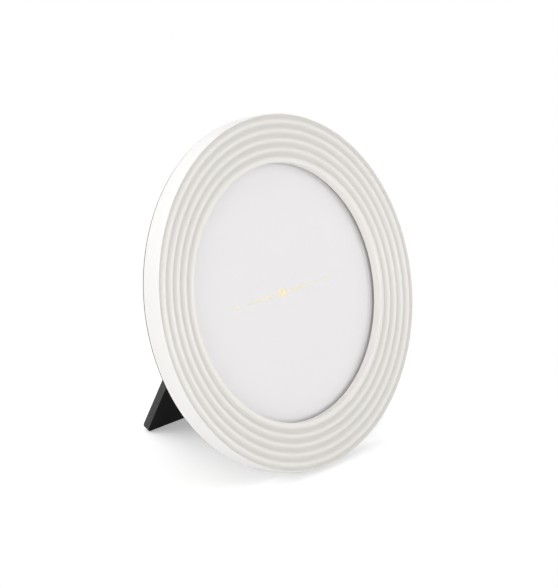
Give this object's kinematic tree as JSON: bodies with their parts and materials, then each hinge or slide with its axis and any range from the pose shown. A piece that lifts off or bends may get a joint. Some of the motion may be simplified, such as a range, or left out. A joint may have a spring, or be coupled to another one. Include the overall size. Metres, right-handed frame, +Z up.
{
  "type": "round picture frame",
  "caption": "Round desk picture frame with a ribbed white face, glass, a blank insert and a hinged easel leg at the back.",
  "frame": {"origin": "on the table, at the middle of the bounding box: below the frame, midway between the front of the rim and the back of the leg", "axes": "+X to the viewer's right, +Y from the picture's side towards the easel leg, +Z up; the frame leans back 16.4 degrees from the vertical about X"},
  "size_m": [0.1394, 0.0836, 0.136],
  "materials": {
    "lacquer": "smooth white satin lacquer over moulded wood fibre",
    "glass": "clear and polished",
    "card": "matt white card",
    "black_board": "fibreboard with a matt black covering",
    "steel": "zinc plated",
    "brass": "brassed, satin"
  },
  "bodies": {
    "frame": {"frame_ring": "lacquer", "glass_pane": "glass", "photo_insert": "card", "back_board": "black_board", "hinge_bracket": "steel", "hinge_pin": "steel", "bracket_rivet_left": "steel", "bracket_rivet_right": "steel", "button_screw_upper_right": "brass", "button_screw_upper_left": "brass", "button_screw_lower_left": "brass", "button_screw_lower_right": "brass"},
    "leg": {"easel_leg": "black_board", "hinge_strap": "steel", "strap_rivet_left": "steel", "strap_rivet_right": "steel"},
    "button_upper_right": {"turn_button_upper_right": "brass"},
    "button_upper_left": {"turn_button_upper_left": "brass"},
    "button_lower_left": {"turn_button_lower_left": "brass"},
    "button_lower_right": {"turn_button_lower_right": "brass"}
  },
  "joints": [
    {"name": "leg_hinge", "type": "hinge", "parent": "frame", "child": "leg", "pos_m": [0, -0.00081, 0.09667], "axis": [1, 0, 0], "range_deg": [-39.5, 0]},
    {"name": "upper_right_turn", "type": "hinge", "parent": "frame", "child": "button_upper_right", "pos_m": [0.04405, -0.00087, 0.10883], "axis": [0, 0.9593, -0.2823], "continuous": true},
    {"name": "upper_left_turn", "type": "hinge", "parent": "frame", "child": "button_upper_left", "pos_m": [-0.04405, -0.00087, 0.10883], "axis": [0, 0.9593, -0.2823], "continuous": true},
    {"name": "lower_left_turn", "type": "hinge", "parent": "frame", "child": "button_lower_left", "pos_m": [-0.04405, -0.02575, 0.02431], "axis": [0, 0.9593, -0.2823], "continuous": true},
    {"name": "lower_right_turn", "type": "hinge", "parent": "frame", "child": "button_lower_right", "pos_m": [0.04405, -0.02575, 0.02431], "axis": [0, 0.9593, -0.2823], "continuous": true}
  ]
}
